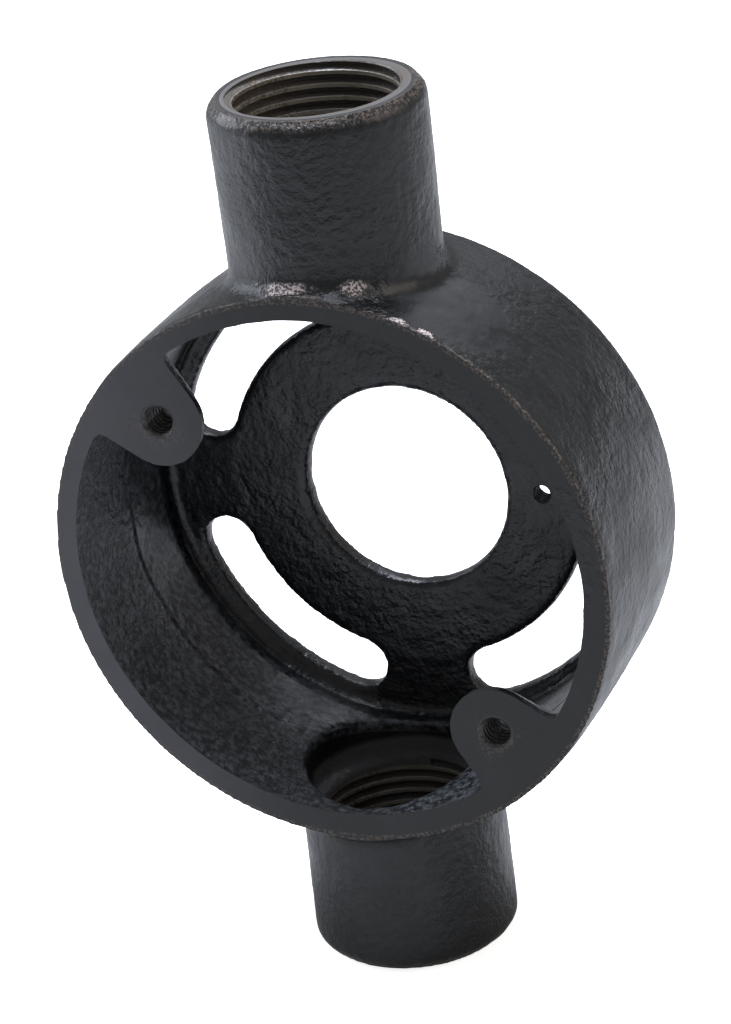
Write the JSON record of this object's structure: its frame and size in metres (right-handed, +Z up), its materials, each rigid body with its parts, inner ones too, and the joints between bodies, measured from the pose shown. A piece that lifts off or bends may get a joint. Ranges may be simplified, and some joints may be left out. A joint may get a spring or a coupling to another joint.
{
  "type": "conduit through box",
  "caption": "Small round open-fronted cast box with threaded conduit spouts above and below, lid-screw lugs and a slotted back plate.",
  "frame": {"origin": "centre of the lower spout's mouth, on the common axis of the two spouts", "axes": "+Z up along the spout axis to the upper mouth, -Y out of the open face, +X to the right as seen from the open face"},
  "size_m": [0.0664, 0.027, 0.1037],
  "materials": {
    "enamelled_iron": "black enamel, semi-gloss, over rough casting"
  },
  "bodies": {
    "root": {"box_casting": "enamelled_iron"}
  },
  "joints": []
}
